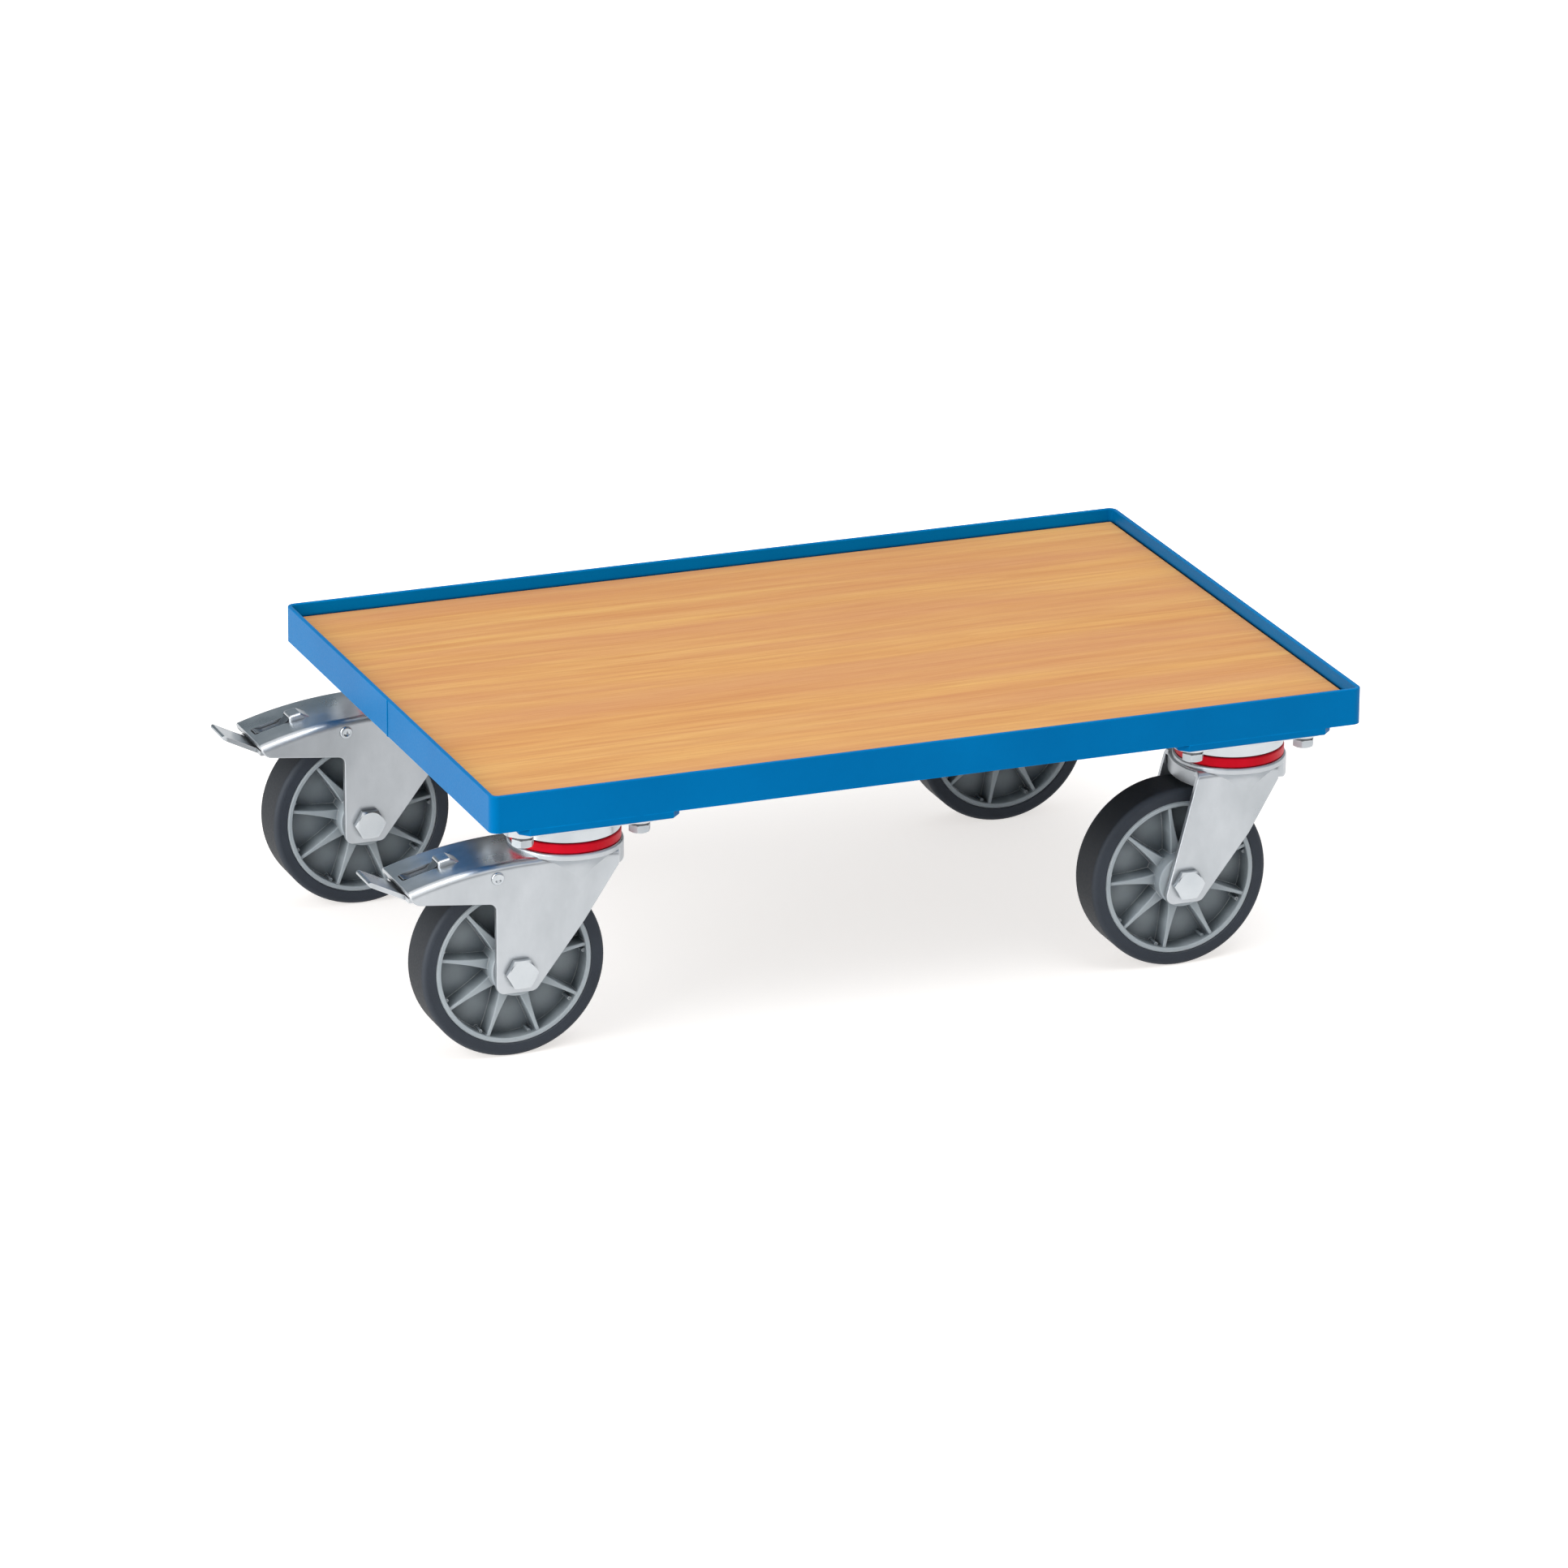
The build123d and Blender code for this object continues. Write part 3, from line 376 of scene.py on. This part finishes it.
bands = grain_layer(along=2.0, across=30.0, detail=3.0, low=0.36, high=0.64)
streaks = grain_layer(along=5.5, across=150.0, detail=5.0, low=0.42, high=0.74)
threads = grain_layer(along=22.0, across=900.0, detail=4.0, low=0.35, high=0.7)
flecks = grain_layer(along=130.0, across=1500.0, detail=2.0, low=0.62, high=0.74)
blush = grain_layer(along=1.6, across=18.0, detail=3.0, low=0.4, high=0.6)
decor = blend_colours(tree, bands, beech_middle, beech_light)
for layer, strength, stain in (
    (streaks, 0.65, beech_dark),
    (blush, 0.7, beech_rose),
    (threads, 0.32, beech_dark),
    (flecks, 0.45, beech_fleck),
):
    decor = blend_colours(tree, spread(tree, layer, 0.0, strength), decor, stain)
# Painted shade: the underside takes a darker grey film that stands in for the shadow beneath the
# board.
facing = place_node(tree, "ShaderNodeSeparateXYZ", None, {0: where.outputs["Normal"]})
underside = window(tree, facing.outputs["Z"], low=-0.4, high=-0.6)
shaded_backing_film = blend_colours(tree, threads, film_shade_dark, film_shade_light)
feed(
    tree,
    shader,
    Base_Color=blend_colours(tree, underside, decor, shaded_backing_film),
    Roughness=spread(tree, threads, low=0.52, high=0.64),
    Normal=relief(tree, threads, strength=0.15, depth=0.1 * mm),
)
shader.inputs["Specular IOR Level"].default_value = 0.3
dress(beech, "deck_board")

# Castor heads: pressed top plates with their drawn cups, screws, washers and kingpins.
# All are zinc plated with a bluish passivation, cloudy where the bath left it, lighter on the edges
# with polish and a painted highlight, and darkened with painted shade in corners. The screws are a
# little duller than the pressed pieces.
corners = ("front_left", "back_left", "front_right", "back_right")
braked = ("front_left", "back_left")
corner_shade = chip(52, 56, 60)


def zinc_finish(
    name, dull, bright, edge, gloss, cloud_scale,
    stretch=(1.0, 1.0, 1.0), waves=0.0, wall_metal=1.0, top_metal=1.0, top_polish=1.0,
):
    """Zinc plating, cloudy, with painted shade in corners and a painted highlight on edges, whose
    walls and tops can differ in metal and polish.
    """
    finish, tree, shader = start_finish(name)
    clouds, grain = mottle(tree, cloud_scale, grain_scale=420.0, stretch=stretch)
    # Painted highlight with some polish: the plating lightens along its edges.
    lit_worn_edges = edge_highlight_share(tree, width=1.1 * mm, patches=90.0, most=0.8)
    # Painted shade: the plating darkens in corners and crevices.
    out_of_corner_shade = open_share(tree, reach=5 * mm, low=0.15, high=0.78)
    tint = blend_colours(tree, clouds, dull, bright)
    grained = blend_colours(tree, spread(tree, grain, low=0.0, high=0.12), tint, dull)
    edged = blend_colours(tree, lit_worn_edges, grained, edge)
    where = place_node(tree, "ShaderNodeTexCoord")
    facing = place_node(tree, "ShaderNodeSeparateXYZ", None, {0: where.outputs["Normal"]})
    top = window(tree, facing.outputs["Z"], low=0.3, high=0.75, interpolation="SMOOTHSTEP")
    cloud_gloss = spread(tree, clouds, *gloss)
    sheen = calculate(tree, "ADD", cloud_gloss, spread(tree, grain, low=-0.015, high=0.015))
    pressed = relief(tree, clouds, strength=waves, depth=0.5 * mm)
    feed(
        tree,
        shader,
        Base_Color=blend_colours(tree, out_of_corner_shade, corner_shade, edged),
        Roughness=calculate(tree, "MULTIPLY", sheen, spread(tree, top, 1.0, top_polish)),
        Normal=relief(tree, grain, strength=0.02, depth=0.1 * mm, under=pressed),
    )
    shader.inputs["Metallic"].default_value = wall_metal
    if top_metal != wall_metal:
        feed(tree, shader, Metallic=spread(tree, top, wall_metal, top_metal))
    return finish


plated = zinc_finish(
    "bright_zinc",
    dull=chip(203, 209, 214),
    bright=chip(228, 232, 235),
    edge=chip(248, 249, 251),
    gloss=(0.17, 0.26),
    cloud_scale=26.0,
)
dress(plated, "plate_washers")
for corner in corners:
    dress(plated, f"top_plate_{corner}", f"kingpin_{corner}")
screw_zinc = zinc_finish(
    "screw_zinc",
    dull=chip(196, 202, 206),
    bright=chip(220, 225, 228),
    edge=chip(246, 248, 250),
    gloss=(0.38, 0.5),
    cloud_scale=60.0,
    wall_metal=0.7,
    top_metal=0.7,
)
dress(screw_zinc, "plate_screws")

# Lock washers: split rings of blackened spring steel between the screw heads and the washers.
# They are cut from square wire and keep the dark oil finish of hardened parts.
darkened = zinc_finish(
    "blackened_steel",
    dull=chip(92, 95, 99),
    bright=chip(120, 123, 127),
    edge=chip(176, 179, 182),
    gloss=(0.36, 0.5),
    cloud_scale=120.0,
)
dress(darkened, "lock_washers")

# Swivel bearings: two rows of caged balls and the hardened lower races inside the fork crowns.
# Ground bearing steel, bright and smooth, with a film of grease.
hardened = zinc_finish(
    "bearing_steel",
    dull=chip(196, 196, 196),
    bright=chip(216, 216, 214),
    edge=chip(240, 240, 238),
    gloss=(0.14, 0.24),
    cloud_scale=60.0,
)
dress(hardened, "ball_rings", *[f"lower_race_{corner}" for corner in corners])

# Seal rings: bands of red plastic that close the gap between each cup and its fork.
# Injection moulded, smooth and a little shiny, lighter on the rim with rubbing and a painted
# highlight.
seal_red, tree, shader = start_finish("red_seal_plastic")
red_deep = chip(212, 8, 30)
red_bright = chip(230, 16, 44)
red_rub_and_highlight = chip(238, 50, 62)
red_glint = chip(240, 90, 100)
clouds, grain = mottle(tree, cloud_scale=45.0, grain_scale=900.0)
# Painted highlight with some rubbing: the plastic lightens along its edges.
lit_worn_edges = edge_highlight_share(tree, width=0.7 * mm, patches=120.0, most=0.5)
red_body = blend_colours(tree, clouds, red_deep, red_bright)
feed(
    tree,
    shader,
    Base_Color=blend_colours(tree, lit_worn_edges, red_body, red_rub_and_highlight),
    Roughness=spread(tree, clouds, low=0.3, high=0.42),
    Normal=relief(tree, grain, strength=0.08, depth=0.1 * mm),
)
shader.inputs["Specular Tint"].default_value = red_glint
dress(seal_red, *[f"seal_ring_{corner}" for corner in corners])

# Forks: pressed from steel sheet, crown, shoulders and legs in one, the braked ones with a hood.
# Zinc plated after pressing, so the legs are cloudy, the drawn tops shine, and the edges carry a
# painted highlight.
fork_zinc = zinc_finish(
    "pressed_zinc_sheet",
    dull=chip(190, 195, 199),
    bright=chip(217, 221, 225),
    edge=chip(252, 252, 253),
    gloss=(0.27, 0.38),
    cloud_scale=34.0,
    stretch=(1.0, 1.0, 0.6),
    waves=0.5,
    wall_metal=0.82,
    top_metal=1.0,
    top_polish=0.95,
)
dress(fork_zinc, *[f"fork_{corner}" for corner in corners])

# Brake: bent pedal lever and leaf spring, carried by a riveted cross pin in the hood.
# The pedal is zinc plated like the fork, the spring is bare steel strip, and the shoe is a block
# of black rubber.
dress(fork_zinc, *[f"brake_pedal_{corner}" for corner in braked])
spring_bright = zinc_finish(
    "spring_strip",
    dull=chip(124, 130, 137),
    bright=chip(156, 162, 168),
    edge=chip(246, 248, 250),
    gloss=(0.18, 0.28),
    cloud_scale=70.0,
    stretch=(0.3, 1.0, 1.0),
    wall_metal=0.9,
    top_metal=0.9,
)
dress(spring_bright, *[f"brake_spring_{corner}" for corner in braked])
rubber, tree, shader = start_finish("black_brake_rubber")
rubber_dark = chip(26, 26, 28)
rubber_light = chip(44, 44, 47)
clouds, grain = mottle(tree, cloud_scale=90.0, grain_scale=1100.0)
feed(
    tree,
    shader,
    Base_Color=blend_colours(tree, clouds, rubber_dark, rubber_light),
    Roughness=spread(tree, grain, low=0.62, high=0.8),
    Normal=relief(tree, grain, strength=0.25, depth=0.15 * mm),
)
dress(rubber, *[f"brake_shoe_{corner}" for corner in braked])

# Brake pins: round wire whose ends are upset into rivet heads outside the hood.
# Each head has the dished mark that the riveting punch leaves.
shank_radius = 3.0 * mm
hood_half = 28.5 * mm
rivet_radius = 4.25 * mm
rivet_height = 1.5 * mm
rivet_steps = (
    (0.0, rivet_radius / shank_radius),
    (0.55 * rivet_height, 1.0),
    (0.3 * rivet_height, 0.9),
    (0.15 * rivet_height, 0.78),
)
punch_wall = 0.45 * mm
punch_depth = 0.7 * mm
punch_taper = 0.55
eased_width = 0.18 * mm


def select_end(piece, direction):
    """In edit mode, select only the outermost face that looks along Y in the given direction."""
    bpy.ops.mesh.select_all(action="DESELECT")
    bpy.ops.object.mode_set(mode="OBJECT")
    ends = [face for face in piece.data.polygons if face.normal.y * direction > 0.99]
    outermost = max(ends, key=lambda face: face.center.y * direction)
    outermost.select = True
    bpy.ops.object.mode_set(mode="EDIT")


def extrude_end(move, grow, centre):
    """Extrude the selected end along Y by a move, then size it about a centre."""
    bpy.ops.mesh.extrude_region_move(TRANSFORM_OT_translate={"value": (0, move, 0)})
    bpy.ops.transform.resize(value=(grow, 1, grow), center_override=centre)


for corner in braked:
    pin_low, pin_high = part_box(f"pivot_pin_{corner}")
    pin_middle = (pin_low + pin_high) / 2
    pin_axis = (pin_middle.x, 0, pin_middle.z)
    bpy.ops.object.select_all(action="DESELECT")
    bpy.ops.mesh.primitive_cylinder_add(
        vertices=40,
        radius=shank_radius,
        depth=2 * hood_half,
        location=pin_middle,
        rotation=(math.radians(90), 0, 0),
    )
    rivet = bpy.context.object
    rivet.name = f"brake_rivet_{corner}"
    bpy.ops.object.transform_apply(location=True, rotation=True, scale=True)
    bpy.ops.object.mode_set(mode="EDIT")
    bpy.ops.mesh.select_mode(type="FACE")
    for direction in (-1, 1):
        select_end(rivet, direction)
        for out, grow in rivet_steps:
            extrude_end(direction * out, grow, pin_axis)
        bpy.ops.mesh.inset(thickness=punch_wall)
        extrude_end(-direction * punch_depth, punch_taper, pin_axis)
    bpy.ops.mesh.select_all(action="SELECT")
    bpy.ops.mesh.remove_doubles(threshold=0.01 * mm)
    bpy.ops.mesh.normals_make_consistent(inside=False)
    bpy.ops.object.mode_set(mode="OBJECT")
    eased = rivet.modifiers.new("eased", "BEVEL")
    eased.width = eased_width
    eased.segments = 2
    eased.limit_method = "ANGLE"
    eased.angle_limit = math.radians(28)
    bpy.ops.object.modifier_apply(modifier="eased")
    bpy.ops.object.shade_smooth_by_angle(angle=math.radians(40))
    rivet.data.materials.append(plated)
    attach(rivet, f"swivel_{corner}")
    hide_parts(f"pivot_pin_{corner}")

# Wheels: rims moulded in grey polyamide with nine ribs a side, on plain roller cages of black nylon.
# The plastic has a dull bloom, with a painted highlight on the edges that the mould leaves proud and
# painted shade in the recesses between the ribs.
rim_grey, tree, shader = start_finish("grey_polyamide")
grey_recess_shade = chip(92, 101, 108)
grey_dull = chip(162, 172, 178)
grey_bloom = chip(176, 185, 190)
grey_edge_highlight = chip(232, 236, 238)
clouds, grain = mottle(tree, cloud_scale=30.0, grain_scale=800.0)
# Painted highlight: the plastic lightens along its edges.
lit_worn_edges = edge_highlight_share(tree, width=1.2 * mm, patches=50.0, most=0.85)
# Painted shade: the plastic darkens in the recesses between the ribs.
out_of_recess_shade = open_share(tree, reach=16 * mm, low=0.3, high=0.95, only_local=True)
rim_proud = blend_colours(tree, clouds, grey_dull, grey_bloom)
rim_body = blend_colours(tree, out_of_recess_shade, grey_recess_shade, rim_proud)
feed(
    tree,
    shader,
    Base_Color=blend_colours(tree, lit_worn_edges, rim_body, grey_edge_highlight),
    Roughness=spread(tree, grain, low=0.3, high=0.42),
    Normal=relief(tree, grain, strength=0.1, depth=0.1 * mm),
)
shader.inputs["Specular IOR Level"].default_value = 0.35
dress(rim_grey, *[f"wheel_rim_{corner}" for corner in corners])

cage_black, tree, shader = start_finish("black_nylon_cage")
nylon_dark = chip(30, 31, 33)
nylon_light = chip(48, 49, 52)
clouds, grain = mottle(tree, cloud_scale=80.0, grain_scale=900.0)
feed(
    tree,
    shader,
    Base_Color=blend_colours(tree, clouds, nylon_dark, nylon_light),
    Roughness=spread(tree, grain, low=0.4, high=0.55),
)
dress(cage_black, *[f"wheel_bearing_{corner}" for corner in corners])

# Tyres: solid rubber moulded onto the rims, dark grey and non-marking.
# Satin, with a fine speckle of filler and a darker tread; the shoulders are made paler with a painted
# highlight.
tyre_grey, tree, shader = start_finish("dark_grey_tyre")
tread_dark = chip(33, 36, 40)
tread_light = chip(39, 42, 47)
sidewall_dark = chip(51, 56, 64)
sidewall_light = chip(59, 65, 74)
shoulder_highlight = chip(92, 98, 106)
filler_speck = chip(72, 79, 88)
clouds, grain = mottle(tree, cloud_scale=24.0, grain_scale=650.0)
where = place_node(tree, "ShaderNodeTexCoord")
facing = place_node(tree, "ShaderNodeSeparateXYZ", None, {0: where.outputs["Normal"]})
# Painted highlight: a paler band where the tread turns into the sidewall.
sideways = calculate(tree, "ABSOLUTE", facing.outputs["Y"])
outward = calculate(tree, "SUBTRACT", 1.0, sideways)
shoulder_highlight_share = calculate(tree, "MULTIPLY", sideways, outward)
tread = blend_colours(tree, clouds, tread_dark, tread_light)
sidewall = blend_colours(tree, clouds, sidewall_dark, sidewall_light)
tyre_body = blend_colours(tree, sideways, tread, sidewall)
shoulder_lit = blend_colours(tree, shoulder_highlight_share, tyre_body, shoulder_highlight)
specks = spread(tree, grain, low=0.0, high=0.12)
feed(
    tree,
    shader,
    Base_Color=blend_colours(tree, specks, shoulder_lit, filler_speck),
    Roughness=spread(tree, grain, low=0.46, high=0.6),
    Normal=relief(tree, grain, strength=0.15, depth=0.12 * mm),
)
shader.inputs["Specular IOR Level"].default_value = 0.2
dress(tyre_grey, *[f"tyre_{corner}" for corner in corners])

# Axles: hexagon bolts with their nuts, clamping a spacer tube between the legs.
# Zinc plated like the castor heads.
for corner in corners:
    dress(plated, f"axle_bolt_{corner}", f"axle_nut_{corner}", f"axle_tube_{corner}")

# Studio: a white sheet under and behind the dolly, with soft light from above and from the left.
# The sheet keeps a faint warm shadow near the dolly and runs out to plain white. Mirrors see a room
# with a dusky band in front and a slate one behind.
floor_size = 24.0
shadow_start = 0.4
shadow_end = 1.0
white = (1.0, 1.0, 1.0, 1.0)
warm_white = (1.0, 0.97, 0.945, 1.0)
sheet_colour = (0.9, 0.89, 0.88, 1.0)
bpy.ops.object.select_all(action="DESELECT")
bpy.ops.mesh.primitive_plane_add(size=floor_size, location=(0, 0, cad_box[0].z))
floor = bpy.context.object
floor.name = "studio_floor"
sheet_white, tree, shader = start_finish("white_sheet")
shader.inputs["Base Color"].default_value = sheet_colour
shader.inputs["Roughness"].default_value = 0.9
shader.inputs["Specular IOR Level"].default_value = 0.1
where = place_node(tree, "ShaderNodeTexCoord")
away = vector_step(tree, "LENGTH", where.outputs["Object"])
near = window(
    tree, away.outputs["Value"], low=shadow_end, high=shadow_start, interpolation="SMOOTHSTEP"
)


def mix_shaders(share, first, second):
    """Mix of two of the sheet's shaders."""
    mix = place_node(tree, "ShaderNodeMixShader", None, {0: share, 1: first, 2: second})
    return mix.outputs["Shader"]


def shadowed_sheet(share, glow, strength):
    """The sheet glowing by itself, but for a share near the dolly that takes light and shadow."""
    light = place_node(tree, "ShaderNodeEmission", None, {"Color": glow, "Strength": strength})
    shadowed = spread(tree, near, 0.0, share)
    return mix_shaders(shadowed, light.outputs["Emission"], shader.outputs["BSDF"])


def watchers(tree):
    """Shares that are 1 for the camera's own rays, and for rays by way of a mirror or glass."""
    seen = place_node(tree, "ShaderNodeLightPath")
    mirrored = calculate(
        tree, "MAXIMUM", seen.outputs["Is Glossy Ray"], seen.outputs["Is Transmission Ray"]
    )
    return seen.outputs["Is Camera Ray"], mirrored


by_camera, by_mirror = watchers(tree)
mirror_sheet = shadowed_sheet(share=0.28, glow=white, strength=1.06)
camera_sheet = shadowed_sheet(share=0.7, glow=warm_white, strength=2.25)
lit_sheet = mix_shaders(by_mirror, shader.outputs["BSDF"], mirror_sheet)
sheet_surface = mix_shaders(by_camera, lit_sheet, camera_sheet)
tree.links.new(sheet_surface, tree.nodes["Material Output"].inputs["Surface"])
floor.data.materials.append(sheet_white)

room = bpy.data.worlds.new("studio_room")
room.use_nodes = True
bpy.context.scene.world = room
tree = room.node_tree
backdrop = tree.nodes["Background"]
room_light = (0.5, 0.5, 0.5, 1.0)
dusk = (0.22, 0.23, 0.25, 1.0)
slate = (0.18, 0.22, 0.245, 1.0)
towards = place_node(tree, "ShaderNodeTexCoord")
heading = place_node(tree, "ShaderNodeSeparateXYZ", None, {0: towards.outputs["Generated"]})


def room_side(*stops):
    """Colours that one side of the room shows to mirrors, from the floor's edge up to the ceiling."""
    ramp = place_node(tree, "ShaderNodeValToRGB", None, {"Fac": heading.outputs["Z"]})
    elements = ramp.color_ramp.elements
    for element, (level, colour) in zip(elements, (stops[0], stops[-1])):
        element.position = level
        element.color = colour
    for level, colour in stops[1:-1]:
        elements.new(level).color = colour
    return ramp.outputs["Color"]


front_side = room_side((0.0, white), (0.07, dusk), (0.28, dusk), (0.42, white))
back_side = room_side((0.05, white), (0.25, slate), (0.6, slate), (0.78, white))
behind = window(tree, heading.outputs["Y"], low=-0.1, high=0.4, interpolation="SMOOTHSTEP")
mirror_room = blend_colours(tree, behind, front_side, back_side)
by_camera, by_mirror = watchers(tree)
lit_room = blend_colours(tree, by_mirror, room_light, mirror_room)
seen_room = blend_colours(tree, by_camera, lit_room, white)
tree.links.new(seen_room, backdrop.inputs["Color"])
backdrop.inputs["Strength"].default_value = 1.0

for lamp_name, place, aim, size, watts in (
    ("overhead_softbox", (0.45, -0.75, 2.3), (0.0, 0.0, 0.0), 1.7, 34.0),
    ("left_softbox", (-2.25, -0.55, 0.8), (-0.1, 0.0, -0.05), 2.2, 46.0),
):
    lamp = bpy.data.lights.new(lamp_name, "AREA")
    lamp.shape = "SQUARE"
    lamp.size = size
    lamp.energy = watts
    lamp_object = bpy.data.objects.new(lamp_name, lamp)
    bpy.context.scene.collection.objects.link(lamp_object)
    look = Vector(aim) - Vector(place)
    turned = look.to_track_quat("-Z", "Y").to_matrix().to_4x4()
    lamp_object.matrix_world = Matrix.Translation(place) @ turned

# Camera: a long lens from the front left and above, as in the photograph.
# It aims over the tray's middle at the height of the rim's top edge, shifted and rolled a little
# to match the picture.
azimuth = math.radians(-21.703)
elevation = math.radians(19.818)
roll = math.radians(0.44)
camera_distance = 5.97927
frame_shift_right = -0.022423
frame_shift_up = -0.092545
aim_height = 9 * mm
level_right = Vector((math.cos(azimuth), math.sin(azimuth), 0))
backward = Vector(
    (
        math.sin(azimuth) * math.cos(elevation),
        -math.cos(azimuth) * math.cos(elevation),
        math.sin(elevation),
    )
)
level_up = backward.cross(level_right)
right = math.cos(roll) * level_right + math.sin(roll) * level_up
up = math.cos(roll) * level_up - math.sin(roll) * level_right
stand = right * frame_shift_right + up * frame_shift_up + backward * camera_distance
stand.z += aim_height
lens = bpy.data.cameras.new("photo_camera")
lens.sensor_width = 36.0
lens.lens = 205.55
lens.clip_end = 60.0
camera = bpy.data.objects.new("photo_camera", lens)
bpy.context.scene.collection.objects.link(camera)
camera_turn = Matrix((right, up, backward)).transposed().to_4x4()
camera.matrix_world = Matrix.Translation(stand) @ camera_turn
bpy.context.scene.camera = camera
bpy.context.scene.view_settings.view_transform = "Standard"
